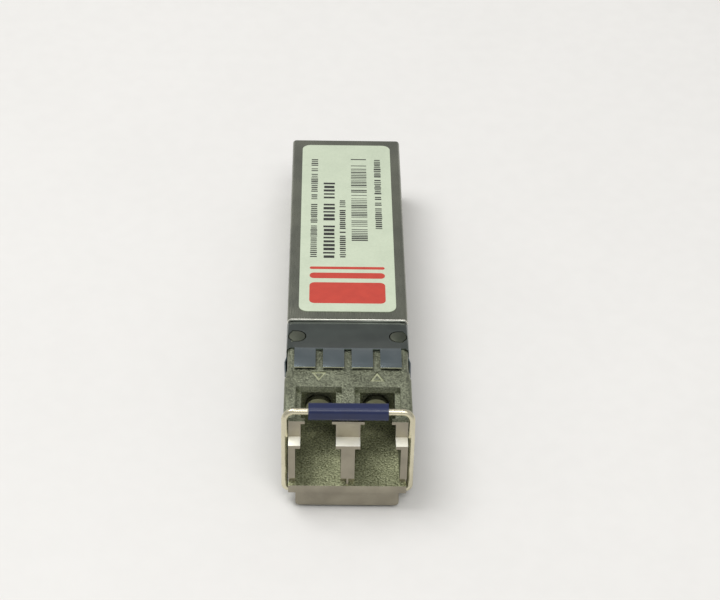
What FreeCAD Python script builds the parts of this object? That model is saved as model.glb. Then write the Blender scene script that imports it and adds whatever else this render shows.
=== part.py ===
import FreeCAD, Part
import math
import os

from FreeCAD import Vector

# Pluggable optical transceiver module with a duplex receptacle, a wire bail and a card edge.
# Lengths are millimetres. While a piece is built, Y runs from the front face of the nose (0)
# to the rear end, X is the width and Z is up from the bottom of the chin under the nose.
# Every piece is moved at the end, so that the origin is under the middle of the module.

# Body
module_length = 56.5
body_width = 13.4
body_height = 8.5
chin_drop = 2.3
corner_radius = 0.45

# Sheet cover
cover_thickness = 0.3
cover_front = 18.7
cover_skirt_foot = 2.0
cover_window_length = 2.2
cover_window_height = 1.1
cover_window_rise = 2.2
cover_window_count = 3
cover_window_inset = 5.4
snap_bump_height = 0.2
snap_bump_gap = 0.15

# Contact collar with spring fingers
collar_thickness = 0.15
collar_cover_lap = 0.7
collar_edge_gap = 0.05
collar_bend_back = 13.9
collar_slot_back = 13.6
finger_apex = 12.9
finger_tip = 10.3
finger_rise = 0.4
finger_tip_rise = 0.2
side_finger_rise = 0.2
top_finger_count = 4
top_finger_width = 2.3
top_finger_gap = 0.8
side_finger_count = 2
side_finger_width = 2.5
side_finger_gap = 0.8
collar_foot_inner = 3.7
collar_window_front = 15.0
collar_window_length = 2.0
collar_window_width = 1.6
collar_window_inset = 0.55
collar_boss_gap = 0.12

# Nose and its two ports
nose_length = 9.0
nose_side_step = 0.1
port_pitch = 6.25
port_width = 4.8
port_height = 5.1
port_floor_rise = 0.5
port_depth = 10.4
bulkhead_thickness = 1.0
front_setback = 1.5
ledge_thickness = 0.4
ledge_centre_half = 1.35
ledge_side_inner = 5.0
foot_slot_height = 1.05
foot_slot_depth = 0.8
foot_rib_width = 0.2
foot_rib_inset = 0.25
lip_height = 0.95
latch_slot_width = 3.7
latch_slot_back = 7.1
latch_gate_width = 2.85
latch_gate_length = 0.6
latch_gate_thickness = 0.35
recess_width = 4.9
recess_back = 7.35
recess_depth = 0.8
arrow_width = 1.7
arrow_length = 1.6
arrow_line = 0.28
arrow_depth = 0.1
arrow_front = 8.3

# Inside of the housing
wall_inner_half = 5.7
floor_thickness = 0.8
roof_thickness = 0.75
roof_back = 13.9
can_pocket_front = 15.9
can_pocket_back = 21.5
can_pocket_floor = 0.4
tail_opening_front = 46.1
tail_chamfer = 1.1

# Chin, latch boss and actuator slider
chin_width = 11.0
chin_inset = 0.15
chin_front_wall = 0.4
actuator_width = 6.3
chin_back_wall = 0.4
actuator_roof = 0.2
actuator_back = 14.9
boss_front = 11.5
boss_length = 2.6
boss_width = 2.6
boss_drop = 0.45
boss_flat = 0.6
slide_gap = 0.03
side_gap = 0.1
slider_travel = 0.6
slider_plate_thickness = 0.52
slider_tail_thickness = 0.24
slider_rest_gap = 0.16
ear_length = 0.8
ear_outer = 3.65
ear_inner = 2.6
ear_foot_gap = 0.1
tail_front = 7.9
tail_boss_gap = 0.1
tip_inner = 1.75
tip_drop = 0.35
tip_length = 1.15
tip_lead = 0.55
tip_boss_reach = 0.4
spring_tab_front = 4.5
spring_tab_thickness = 0.4
spring_tab_half = 0.9
retainer_thickness = 0.25
retainer_width = 9.8
retainer_front = 0.75
retainer_gap = 0.05

# Return spring of the slider
spring_diameter = 1.5
spring_wire = 0.22
spring_turns = 6

# Bail
wire_diameter = 0.7
bail_side_gap = 0.05
bail_recess_half = 6.25
bail_recess_back = 3.3
bail_recess_radius = 0.3
bail_pivot_y = 1.5
bail_pivot_z = 1.25
bail_bore_gap = 0.05
crank_throw = 0.6
crank_end = 2.9
crank_jog_inner = 3.8
crank_jog_outer = 4.4
crank_bend = 0.36
crank_room_half = 4.6
bail_foot_bend = 0.55
bail_kink_z = 8.2
bail_kink_bend = 3.0
bail_bar_y = 2.0
bail_corner_bend = 1.0
grip_length = 8.35
grip_thickness = 1.6
grip_round = 0.55
grip_rest_gap = 0.15
grip_bore_gap = 0.02

# Optical subassemblies
barrel_front = 9.7
barrel_nose_radius = 1.4
barrel_hole_gap = 0.05
gasket_thickness = 0.5
gasket_edge_gap = 0.1
gasket_height = 4.2
flange_radius = 2.1
flange_length = 2.0
neck_radius = 1.5
neck_length = 1.0
rear_ring_length = 1.0
barrel_tail_radius = 1.7
barrel_tail_length = 0.5
ferrule_bore_radius = 0.63
bore_lip = 0.4
sleeve_wall = 0.23
sleeve_gap = 0.02
sleeve_length = 5.1
sleeve_slit = 0.12
stub_radius = 0.8
stub_gap = 0.01
aperture_radius = 0.4
can_radius = 2.45
can_length = 3.0
can_wall = 0.35
can_face = 0.5
can_window_radius = 0.5
lens_radius = 0.75
header_length = 1.0
pedestal_length = 1.0
pedestal_width = 1.4
pedestal_height = 0.5
die_size = 0.4
detector_size = 0.7
detector_height = 0.2
pin_radius = 0.15
pin_circle = 1.1
pin_length = 0.05
pin_count = 4
clamp_thickness = 0.8
clamp_top = 9.6
saddle_gap = 0.03

# Flexible circuits
flex_thickness = 0.1
flex_width = 2.6
flex_foot = 1.8
flex_peak_rise = 2.85
flex_peak_back = 1.1
flex_board_lap = 1.9

# Circuit board
board_thickness = 1.0
board_rise = 2.25
board_front = 23.4
board_end = 53.3
board_side_gap = 0.15
card_edge_width = 9.2
card_edge_front = 45.9
card_edge_bevel = 0.3
board_ledge_width = 0.7
board_ledge_front = 24.5
board_ledge_back = 45.5
key_front = 38.0
key_length = 1.5
key_depth = 0.7
key_gap = 0.1
key_height = 0.85
contact_count = 10
contact_pitch = 0.8
contact_width = 0.55
contact_length = 3.0
contact_inset = 0.4
contact_thickness = 0.05

# Parts on the board
driver_size = 4.0
driver_y = 28.8
driver_x = -2.7
amplifier_size = 3.0
amplifier_y = 28.4
amplifier_x = 2.9
chip_height = 0.85
controller_size = 5.0
controller_y = 36.0
memory_length = 3.0
memory_width = 2.0
memory_height = 0.75
memory_x = -2.8
memory_y = 42.0
inductor_length = 2.0
inductor_width = 1.6
inductor_height = 1.2
inductor_x = 2.4
inductor_y = 41.0
inductor_pitch = 2.4
inductor_count = 2
chip_bevel = 0.12
passive_length = 1.0
passive_width = 0.5
passive_height = 0.5
passive_pitch = 1.1
passive_columns = 4
passive_column_pitch = 1.6
passive_row_gap = 0.65
pad_length = 6.0
pad_width = 6.0

# Label
label_length = 35.1
label_width = 10.9
label_thickness = 0.1
label_corner = 1.0
label_front = 20.1

# Places that follow from the sizes above
body_bottom = chin_drop
body_top = body_bottom + body_height
cover_under = body_top - cover_thickness
nose_top = cover_under - collar_thickness
nose_half = body_width / 2 + nose_side_step
body_half = body_width / 2
collar_seat_half = body_half - collar_thickness
cover_seat_half = body_half - cover_thickness
skirt_bottom = body_bottom + cover_skirt_foot
collar_back = cover_front - collar_edge_gap
collar_top_back = cover_front + collar_cover_lap
floor_top = body_bottom + floor_thickness
port_floor = body_bottom + port_floor_rise
port_ceiling = port_floor + port_height
port_half = port_width / 2
port_centre_x = port_pitch / 2
port_centre_z = port_floor + port_height / 2
ledge_top = port_ceiling + ledge_thickness
lip_bottom = port_floor - lip_height
bulkhead_back = port_depth + bulkhead_thickness
chin_half = chin_width / 2
actuator_half = actuator_width / 2
actuator_ceiling = port_floor - actuator_roof
crank_room_front = chin_inset + chin_front_wall
chin_cavity_back = nose_length - chin_back_wall
wire_radius = wire_diameter / 2
slider_front = bail_pivot_y + wire_radius + slider_rest_gap
crank_room_back = slider_front + ear_length + slider_travel + side_gap
bail_leg_x = bail_recess_half + bail_side_gap + wire_radius
bail_bar_z = nose_top + grip_rest_gap + grip_thickness / 2
board_bottom = body_bottom + board_rise
board_top = board_bottom + board_thickness
flange_front = bulkhead_back + gasket_thickness
neck_front = flange_front + flange_length
neck_back = neck_front + neck_length
rear_ring_back = neck_back + rear_ring_length
barrel_back = rear_ring_back + barrel_tail_length
header_front = barrel_back + can_length
header_back = header_front + header_length
sleeve_front = barrel_front + bore_lip + sleeve_gap
sleeve_back = sleeve_front + sleeve_length
sleeve_outer = ferrule_bore_radius + sleeve_wall
sides = [-1, 1]


def block(x_low, x_high, y_low, y_high, z_low, z_high):
    """Box between two corners."""
    corner = Vector(x_low, y_low, z_low)
    return Part.makeBox(x_high - x_low, y_high - y_low, z_high - z_low, corner)


def side_block(side, inner, outer, y_low, y_high, z_low, z_high):
    """Box on one side of the middle plane, between two distances from it."""
    low, high = sorted([side * inner, side * outer])
    return block(low, high, y_low, y_high, z_low, z_high)


def long_edges(shape, keep):
    """Straight edges along Y whose middle passes the test."""
    found = []
    for edge in shape.Edges:
        start, end = edge.Vertexes[0].Point, edge.Vertexes[-1].Point
        along = abs(end.y - start.y) > 0.9 * edge.Length
        if along and keep(edge.CenterOfMass):
            found.append(edge)
    return found


def rounded_bar(half, y_low, y_high, z_low, z_high, top_radius, bottom_radius):
    """Bar along Y, even about the middle plane, with rounded long edges."""
    bar = block(-half, half, y_low, y_high, z_low, z_high)
    middle = (z_low + z_high) / 2
    if top_radius > 0:
        bar = bar.makeFillet(top_radius, long_edges(bar, lambda point: point.z > middle))
    if bottom_radius > 0:
        bar = bar.makeFillet(bottom_radius, long_edges(bar, lambda point: point.z < middle))
    return bar


def rod(x, z, y_low, y_high, radius):
    """Cylinder along Y."""
    return Part.makeCylinder(radius, y_high - y_low, Vector(x, y_low, z), Vector(0, 1, 0))


def tube(x, z, y_low, y_high, outer, inner):
    """Hollow cylinder along Y."""
    return rod(x, z, y_low, y_high, outer).cut(rod(x, z, y_low, y_high, inner))


def prism_along_x(points, x_low, x_high):
    """Solid from an outline of (y, z) points, drawn from x_low to x_high."""
    corners = [Vector(x_low, y, z) for y, z in points]
    outline = Part.makePolygon(corners + corners[:1])
    return Part.Face(outline).extrude(Vector(x_high - x_low, 0, 0))


def prism_along_z(points, z_low, z_high):
    """Solid from an outline of (x, y) points, drawn from z_low to z_high."""
    corners = [Vector(x, y, z_low) for x, y in points]
    outline = Part.makePolygon(corners + corners[:1])
    return Part.Face(outline).extrude(Vector(0, 0, z_high - z_low))


def ribbon_outline(points, thickness):
    """Closed outline of a strip that lies on one side of a run of points, with mitred bends."""
    offset = []
    for index, point in enumerate(points):
        normals = []
        for first, second in ((index - 1, index), (index, index + 1)):
            if first < 0 or second >= len(points):
                continue
            run = (points[second][0] - points[first][0], points[second][1] - points[first][1])
            length = math.hypot(*run)
            normals.append((-run[1] / length, run[0] / length))
        mean = (sum(n[0] for n in normals) / len(normals), sum(n[1] for n in normals) / len(normals))
        square = mean[0] ** 2 + mean[1] ** 2
        offset.append((point[0] + thickness * mean[0] / square, point[1] + thickness * mean[1] / square))
    return points + offset[::-1]


def bent_path(points, radii):
    """Wire through points, with a tangent arc of the given radius at each inner point."""
    edges = []
    start = points[0]
    for index, radius in enumerate(radii, start=1):
        here = points[index]
        back = (points[index - 1] - here).normalize()
        ahead = (points[index + 1] - here).normalize()
        half_turn = (math.pi - back.getAngle(ahead)) / 2
        reach = radius * math.tan(half_turn)
        first = here + back * reach
        last = here + ahead * reach
        towards_centre = (back + ahead).normalize()
        middle = here + towards_centre * (radius / math.cos(half_turn) - radius)
        edges.append(Part.LineSegment(start, first).toShape())
        edges.append(Part.Arc(first, middle, last).toShape())
        start = last
    edges.append(Part.LineSegment(start, points[-1]).toShape())
    return Part.Wire(edges)


def housing_outside():
    """Outer form of the cast base: nose, chin, neck under the collar, and body under the cover."""
    nose = rounded_bar(nose_half, 0, nose_length, lip_bottom, nose_top, corner_radius, 0)
    chin = block(-chin_half, chin_half, chin_inset, nose_length, 0, lip_bottom)
    chin = chin.makeFillet(corner_radius, long_edges(chin, lambda point: point.z < lip_bottom / 2))
    shoulder_back = finger_tip - 2 * collar_edge_gap - collar_thickness
    shoulder = rounded_bar(body_half, nose_length, shoulder_back, body_bottom, nose_top, corner_radius, 0)
    neck = rounded_bar(collar_seat_half, nose_length, cover_front, body_bottom, nose_top, corner_radius, 0)
    foot_cut_top = body_bottom + collar_thickness
    for side in sides:
        foot_cut = side_block(side, collar_foot_inner - side_gap, nose_half, shoulder_back, cover_front,
                              body_bottom, foot_cut_top)
        neck = neck.cut(foot_cut)
    lap = rounded_bar(cover_seat_half, cover_front, module_length, body_bottom, nose_top, corner_radius, 0)
    upper = rounded_bar(cover_seat_half, collar_top_back + collar_edge_gap, module_length,
                        body_bottom, cover_under, corner_radius, 0)
    lower = rounded_bar(body_half, cover_front, module_length, body_bottom, skirt_bottom, 0, corner_radius / 2)
    return nose.multiFuse([chin, shoulder, neck, lap, upper, lower])


def housing_inside():
    """Space for the optics and the board, and the open tail over the card edge."""
    far = module_length + 1
    above = body_top + 1
    under_roof = block(-wall_inner_half, wall_inner_half, bulkhead_back, roof_back + 1,
                       floor_top, nose_top - roof_thickness)
    open_top = block(-wall_inner_half, wall_inner_half, roof_back, far, floor_top, above)
    pocket = block(-wall_inner_half, wall_inner_half, can_pocket_front, can_pocket_back,
                   body_bottom + can_pocket_floor, floor_top + 1)
    tail = block(-wall_inner_half, wall_inner_half, tail_opening_front, far, body_bottom - 1, floor_top + 1)
    bevel_points = [(module_length - tail_chamfer, body_bottom - 1), (far, body_bottom - 1),
                    (far, body_bottom + tail_chamfer), (module_length, body_bottom + tail_chamfer),
                    (module_length - tail_chamfer, body_bottom)]
    bevel = prism_along_x(bevel_points, -nose_half, nose_half)
    return [under_roof, open_top, pocket, tail, bevel]


def nose_openings():
    """Ports, latch slots with their stepped rims, the set-back of the upper front and the foot slot."""
    cuts = []
    front_air = -1
    above = body_top + 1
    for side in sides:
        centre = side * port_centre_x
        cuts.append(block(centre - port_half, centre + port_half, front_air, port_depth,
                          port_floor, port_ceiling))
        slot_half = latch_slot_width / 2
        gate_half = latch_gate_width / 2
        slot_front = front_setback + latch_gate_length
        cuts.append(block(centre - slot_half, centre + slot_half, slot_front, latch_slot_back,
                          port_ceiling - 1, above))
        cuts.append(block(centre - slot_half, centre + slot_half, front_air, slot_front + 1,
                          port_ceiling - 1, nose_top - latch_gate_thickness))
        cuts.append(block(centre - slot_half, centre + slot_half, latch_slot_back - 1, port_depth,
                          port_ceiling - 1, nose_top - recess_depth))
        cuts.append(block(centre - gate_half, centre + gate_half, front_air, slot_front + 1,
                          port_ceiling - 1, above))
        rim_half = recess_width / 2
        cuts.append(block(centre - rim_half, centre + rim_half, slot_front, recess_back,
                          nose_top - recess_depth, above))
        cuts.append(side_block(side, ledge_centre_half, ledge_side_inner, front_air, front_setback,
                               port_ceiling - 1, above))
        cuts.append(rod(centre, port_centre_z, port_depth - 1, bulkhead_back + 1,
                        barrel_nose_radius + barrel_hole_gap))
    cuts.append(block(-nose_half, nose_half, front_air, front_setback, ledge_top, above))
    foot_slot = block(-nose_half, nose_half, front_air, foot_slot_depth, port_floor,
                      port_floor + foot_slot_height)
    rib = block(-foot_rib_width / 2, foot_rib_width / 2, foot_rib_inset, foot_slot_depth,
                port_floor, port_floor + foot_slot_height)
    cuts.append(foot_slot.cut(rib))
    return cuts


def actuator_space():
    """Room in the chin for the slider and the cranks, the wire bores and the retainer's seat."""
    crank_room = block(-crank_room_half, crank_room_half, crank_room_front, crank_room_back,
                       -1, actuator_ceiling)
    slider_room = block(-actuator_half, actuator_half, crank_room_front, chin_cavity_back,
                        -1, actuator_ceiling)
    channel = block(-actuator_half, actuator_half, crank_room_front, actuator_back,
                    body_bottom, actuator_ceiling)
    seat_half = retainer_width / 2 + retainer_gap
    seat = block(-seat_half, seat_half, retainer_front - retainer_gap,
                 chin_cavity_back + retainer_gap + chin_back_wall / 2, -1, retainer_thickness)
    bore = Part.makeCylinder(wire_radius + bail_bore_gap, 2 * nose_half,
                             Vector(-nose_half, bail_pivot_y, bail_pivot_z), Vector(1, 0, 0))
    return [crank_room, slider_room, channel, seat, bore]


def bail_recesses():
    """Flat recesses in the nose's sides, in which the bail's legs lie."""
    cuts = []
    for side in sides:
        recess = side_block(side, bail_recess_half, nose_half + 1, -1, bail_recess_back, -1, body_top + 1)
        inner_edge = [edge for edge in recess.Edges
                      if abs(edge.CenterOfMass.y - bail_recess_back) < 0.01
                      and abs(abs(edge.CenterOfMass.x) - bail_recess_half) < 0.01]
        cuts.append(recess.makeFillet(bail_recess_radius, inner_edge))
    return cuts


def arrow_marks():
    """Grooves in the shape of an outward arrow over one port and an inward arrow over the other."""
    grooves = []
    for side in sides:
        centre = side * port_centre_x
        base_y = arrow_front + arrow_length if side < 0 else arrow_front
        apex_y = arrow_front if side < 0 else arrow_front + arrow_length
        triangle = [(centre - arrow_width / 2, base_y), (centre + arrow_width / 2, base_y), (centre, apex_y)]
        middle = (centre, (2 * base_y + apex_y) / 3)
        in_radius = arrow_width * arrow_length / (arrow_width + 2 * math.hypot(arrow_width / 2, arrow_length))
        shrink = 1 - arrow_line / in_radius
        inner = [(middle[0] + shrink * (x - middle[0]), middle[1] + shrink * (y - middle[1]))
                 for x, y in triangle]
        bottom = nose_top - arrow_depth
        groove = prism_along_z(triangle, bottom, body_top).cut(prism_along_z(inner, bottom - 1, body_top + 1))
        grooves.append(groove)
    return grooves


def latch_boss():
    """Wedge under the floor that the cage's tongue hooks on."""
    foot = body_bottom - boss_drop
    back = boss_front + boss_length
    points = [(boss_front, foot), (boss_front + boss_flat, foot), (back, body_bottom),
              (back, actuator_ceiling + actuator_roof / 2), (boss_front, actuator_ceiling + actuator_roof / 2)]
    return prism_along_x(points, -boss_width / 2, boss_width / 2)


def board_seats():
    """Ledges along the side walls and the keys that fit the board's notches."""
    seats = []
    inner = wall_inner_half - board_ledge_width
    for side in sides:
        seats.append(side_block(side, inner, wall_inner_half, board_ledge_front, board_ledge_back,
                                floor_top, board_bottom))
        seats.append(side_block(side, inner, wall_inner_half, key_front, key_front + key_length,
                                floor_top, board_bottom + key_height))
    return seats


def barrel_saddle():
    """Rib across the floor, with half-round seats for the barrels' necks."""
    rib_front = neck_front + (neck_length - clamp_thickness) / 2
    rib = block(-wall_inner_half, wall_inner_half, rib_front, rib_front + clamp_thickness,
                floor_top, port_centre_z)
    for side in sides:
        rib = rib.cut(rod(side * port_centre_x, port_centre_z, rib_front - 1,
                          rib_front + clamp_thickness + 1, neck_radius + saddle_gap))
    return rib


def cover_window_spots():
    """Middles of the snap windows along the cover, evenly spaced between its ends."""
    first = cover_front + cover_window_inset
    step = (module_length - cover_window_inset - first) / (cover_window_count - 1)
    return [first + index * step for index in range(cover_window_count)]


def snap_bumps():
    """Bumps on the walls that hold the cover's windows."""
    bumps = []
    length = cover_window_length - 2 * snap_bump_gap
    height = cover_window_height - 2 * snap_bump_gap
    z_low = skirt_bottom + cover_window_rise + snap_bump_gap
    for spot in cover_window_spots():
        for side in sides:
            bumps.append(side_block(side, cover_seat_half - cover_thickness, cover_seat_half + snap_bump_height,
                                    spot - length / 2, spot + length / 2, z_low, z_low + height))
    return bumps


def window_shape(side, shrink, z_low, z_high):
    """D-shaped solid at one edge of the collar's top, smaller all round by shrink."""
    radius = collar_window_length / 2 - shrink
    outer = body_half - collar_window_inset - shrink
    inner = outer - collar_window_width + 2 * shrink
    centre_y = collar_window_front + collar_window_length / 2
    centre_x = inner + radius
    plate = side_block(side, centre_x, outer, centre_y - radius, centre_y + radius, z_low, z_high)
    disc = Part.makeCylinder(radius, z_high - z_low, Vector(side * centre_x, centre_y, z_low))
    return plate.fuse(disc)


def base_housing():
    """Cast base with the nose, the ports, the chin and the open-topped body."""
    housing = housing_outside()
    housing = housing.cut(housing_inside() + nose_openings() + actuator_space() + bail_recesses())
    window_bosses = [window_shape(side, collar_boss_gap, nose_top - roof_thickness / 2,
                                  nose_top + collar_thickness) for side in sides]
    added = [latch_boss(), barrel_saddle()] + board_seats() + snap_bumps() + window_bosses
    housing = housing.multiFuse(added)
    housing = housing.cut(arrow_marks())
    return housing.removeSplitter()


def top_cover():
    """Folded sheet over the body, with a skirt on each side and snap windows."""
    inner_radius = corner_radius - cover_thickness
    outer = rounded_bar(body_half, cover_front, module_length, skirt_bottom, body_top, corner_radius, 0)
    inner = rounded_bar(cover_seat_half, cover_front - 1, module_length + 1, skirt_bottom - 1,
                        cover_under, inner_radius, 0)
    cover = outer.cut(inner)
    z_low = skirt_bottom + cover_window_rise
    for spot in cover_window_spots():
        window = block(-nose_half, nose_half, spot - cover_window_length / 2, spot + cover_window_length / 2,
                       z_low, z_low + cover_window_height)
        cover = cover.cut(window)
    return cover


def collar_sleeve():
    """Flat part of the collar: a band round the neck with open feet below, lapped by the cover above."""
    inner_radius = corner_radius - collar_thickness
    outer = rounded_bar(body_half, collar_bend_back, collar_back, body_bottom, cover_under, corner_radius, 0)
    inner = rounded_bar(collar_seat_half, collar_bend_back - 1, collar_back + 1,
                        body_bottom + collar_thickness, nose_top, inner_radius, 0)
    gap = block(-collar_foot_inner, collar_foot_inner, collar_bend_back - 1, collar_back + 1,
                body_bottom - 1, body_bottom + 1)
    lap_half = cover_seat_half - corner_radius
    lap = block(-lap_half, lap_half, collar_bend_back, collar_top_back, nose_top, cover_under)
    sleeve = outer.cut([inner, gap]).fuse(lap)
    windows = [window_shape(side, 0, nose_top - 1, cover_under + 1) for side in sides]
    return sleeve.cut(windows)


def finger_profile(seat, rise, tip_rise):
    """Run of the fingers' inner face along Y: off the seat, up to the apex and down to the tip."""
    return [(collar_bend_back, seat), (finger_apex, seat + rise), (finger_tip, seat + tip_rise)]


def finger_slots(count, width, gap):
    """Low and high edge of each slot between fingers that are even about zero."""
    pitch = width + gap
    first = -(count - 2) / 2 * pitch
    return [(first + index * pitch - gap / 2, first + index * pitch + gap / 2) for index in range(count - 1)]


def top_fingers():
    """Bulged band on top, slotted into fingers."""
    half = (top_finger_count * top_finger_width + (top_finger_count - 1) * top_finger_gap) / 2
    profile = finger_profile(nose_top, finger_rise, finger_tip_rise)[::-1]
    band = prism_along_x(ribbon_outline(profile, collar_thickness), -half, half)
    slots = [block(low, high, finger_tip - 1, collar_slot_back, nose_top, body_top + 1)
             for low, high in finger_slots(top_finger_count, top_finger_width, top_finger_gap)]
    return band.cut(slots)


def side_fingers(side):
    """Bulged band on one side, slotted into fingers."""
    half = (side_finger_count * side_finger_width + (side_finger_count - 1) * side_finger_gap) / 2
    middle = (body_bottom + nose_top) / 2
    profile = finger_profile(collar_seat_half, side_finger_rise, finger_tip_rise / 2)[::-1]
    outline = [(side * x, y) for y, x in ribbon_outline(profile, collar_thickness)]
    band = prism_along_z(outline, middle - half, middle + half)
    slots = [side_block(side, collar_seat_half - 1, nose_half + 1, finger_tip - 1, collar_slot_back,
                        middle + low, middle + high)
             for low, high in finger_slots(side_finger_count, side_finger_width, side_finger_gap)]
    return band.cut(slots)


def emi_collar():
    """Thin spring collar round the neck."""
    pieces = [top_fingers()] + [side_fingers(side) for side in sides]
    return collar_sleeve().multiFuse(pieces).removeSplitter()


def label():
    """Thin label on the cover, with rounded corners."""
    half = label_width / 2
    plate = block(-half, half, label_front, label_front + label_length, body_top, body_top + label_thickness)
    upright = [edge for edge in plate.Edges
               if abs(edge.Vertexes[0].Point.z - edge.Vertexes[-1].Point.z) > label_thickness / 2]
    return plate.makeFillet(label_corner, upright)


def bail_wire():
    """One wire: crank, pivot stub, leg, bar across the nose, and the same again on the other side."""
    crank_z = bail_pivot_z - crank_throw
    half_points = [Vector(crank_end, bail_pivot_y, crank_z),
                   Vector(crank_jog_inner, bail_pivot_y, crank_z),
                   Vector(crank_jog_outer, bail_pivot_y, bail_pivot_z),
                   Vector(bail_leg_x, bail_pivot_y, bail_pivot_z),
                   Vector(bail_leg_x, bail_pivot_y, bail_kink_z),
                   Vector(bail_leg_x, bail_bar_y, bail_bar_z)]
    mirrored = [Vector(-point.x, point.y, point.z) for point in half_points[::-1]]
    half_radii = [crank_bend, crank_bend, bail_foot_bend, bail_kink_bend, bail_corner_bend]
    path = bent_path(half_points + mirrored, half_radii + half_radii[::-1])
    circle = Part.Wire(Part.makeCircle(wire_radius, half_points[0], Vector(1, 0, 0)))
    return path.makePipeShell([circle], True, False)


def bail_grip():
    """Moulded sleeve on the bail's bar, a square bar with well rounded edges."""
    half = grip_length / 2
    thick = grip_thickness / 2
    bar = block(-half, half, bail_bar_y - thick, bail_bar_y + thick, bail_bar_z - thick, bail_bar_z + thick)
    along = [edge for edge in bar.Edges if edge.Length > grip_length - 0.01]
    bar = bar.makeFillet(grip_round, along)
    bore = Part.makeCylinder(wire_radius + grip_bore_gap, grip_length + 2,
                             Vector(-half - 1, bail_bar_y, bail_bar_z), Vector(1, 0, 0))
    return bar.cut(bore)


def actuator_slider():
    """Slider in the chin: ears that the cranks push, a plate, a thin tail and two tips beside the boss."""
    plate_top = actuator_ceiling - slide_gap
    plate_bottom = plate_top - slider_plate_thickness
    tail_bottom = plate_top - slider_tail_thickness
    half = actuator_half - side_gap
    tail_back = boss_front - slider_travel - tail_boss_gap
    tip_back = boss_front - tip_boss_reach
    plate = block(-half, half, slider_front, tail_front, plate_bottom, plate_top)
    tail = block(-half, half, tail_front, tail_back, tail_bottom, plate_top)
    tab = block(-spring_tab_half, spring_tab_half, spring_tab_front, spring_tab_front + spring_tab_thickness,
                retainer_thickness + ear_foot_gap, plate_bottom)
    pieces = [tail, tab]
    for side in sides:
        pieces.append(side_block(side, ear_inner, ear_outer, slider_front, slider_front + ear_length,
                                 retainer_thickness + ear_foot_gap, plate_top))
        pieces.append(side_block(side, tip_inner, half, tail_front, tip_back, tail_bottom, plate_top))
        tip_points = [(tip_back - tip_length, plate_top), (tip_back - tip_length, tail_bottom),
                      (tip_back - tip_length + tip_lead, body_bottom - tip_drop),
                      (tip_back, body_bottom - tip_drop), (tip_back, plate_top)]
        low, high = sorted([side * tip_inner, side * half])
        pieces.append(prism_along_x(tip_points, low, high))
    return plate.multiFuse(pieces).removeSplitter()


def slider_spring():
    """Coil between the slider's tab and the back wall of the chin."""
    front = spring_tab_front + spring_tab_thickness
    coil_length = chin_cavity_back - front - spring_wire
    radius = (spring_diameter - spring_wire) / 2
    centre_z = retainer_thickness + ear_foot_gap + spring_diameter / 2
    helix = Part.makeHelix(coil_length / spring_turns, coil_length, radius)
    circle = Part.Wire(Part.makeCircle(spring_wire / 2, Vector(radius, 0, 0), Vector(0, 1, 0)))
    coil = Part.Wire(helix.Edges).makePipeShell([circle], True, True)
    coil.rotate(Vector(0, 0, 0), Vector(1, 0, 0), -90)
    coil.translate(Vector(0, front + spring_wire / 2, centre_z))
    return coil


def slider_retainer():
    """Stamped plate that closes the chin from below."""
    half = retainer_width / 2
    back = chin_cavity_back + chin_back_wall / 2
    return block(-half, half, retainer_front, back, 0, retainer_thickness)


def barrel(side, rear_radius):
    """Turned receptacle barrel: front nose, flange, neck, rear ring and tail, bored for the sleeve."""
    x = side * port_centre_x
    z = port_centre_z
    pieces = [rod(x, z, flange_front, neck_front, flange_radius),
              rod(x, z, neck_front, neck_back, neck_radius),
              rod(x, z, neck_back, rear_ring_back, flange_radius),
              rod(x, z, rear_ring_back, barrel_back, barrel_tail_radius)]
    body = rod(x, z, barrel_front, flange_front, barrel_nose_radius).multiFuse(pieces)
    lip_bore = rod(x, z, barrel_front - 1, barrel_front + bore_lip + 1, ferrule_bore_radius)
    chamber = rod(x, z, barrel_front + bore_lip, sleeve_back + sleeve_gap, sleeve_outer + sleeve_gap)
    rear_bore = rod(x, z, sleeve_back, barrel_back + 1, rear_radius)
    return body.cut([lip_bore, chamber, rear_bore]).removeSplitter()


def split_sleeve(side):
    """Ceramic sleeve with a slit along its top."""
    x = side * port_centre_x
    sleeve = tube(x, port_centre_z, sleeve_front, sleeve_back, sleeve_outer, ferrule_bore_radius)
    slit = block(x - sleeve_slit / 2, x + sleeve_slit / 2, sleeve_front - 1, sleeve_back + 1,
                 port_centre_z, port_centre_z + sleeve_outer + 1)
    return sleeve.cut(slit)


def fibre_stub():
    """Ceramic stub in the transmit barrel's rear bore, where it stops the ferrule."""
    x = -port_centre_x
    return rod(x, port_centre_z, sleeve_back + sleeve_gap, barrel_back, stub_radius)


def can_cap(side):
    """Hollow can behind the barrel, with a small window for the lens."""
    x = side * port_centre_x
    can = rod(x, port_centre_z, barrel_back, header_front, can_radius)
    hollow = rod(x, port_centre_z, barrel_back + can_face, header_front + 1, can_radius - can_wall)
    window = rod(x, port_centre_z, barrel_back - 1, header_front, can_window_radius)
    return can.cut([hollow, window])


def ball_lens(side):
    """Ball lens that sits in the can's window."""
    x = side * port_centre_x
    sink = math.sqrt(lens_radius ** 2 - can_window_radius ** 2)
    return Part.makeSphere(lens_radius, Vector(x, barrel_back + can_face + sink, port_centre_z))


def header_disc(side):
    """Header plate with the ends of its pins."""
    x = side * port_centre_x
    disc = rod(x, port_centre_z, header_front, header_back, can_radius)
    pins = []
    for index in range(pin_count):
        angle = math.pi * (2 * index + 1) / pin_count
        pins.append(rod(x + pin_circle * math.cos(angle), port_centre_z + pin_circle * math.sin(angle),
                        header_back, header_back + pin_length, pin_radius))
    return disc.multiFuse(pins)


def transmitter_header():
    """Header that also carries the laser's pedestal."""
    x = -port_centre_x
    pedestal = block(x - pedestal_width / 2, x + pedestal_width / 2, header_front - pedestal_length,
                     header_front, port_centre_z - die_size / 2 - pedestal_height,
                     port_centre_z - die_size / 2)
    return header_disc(-1).fuse(pedestal)


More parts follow.
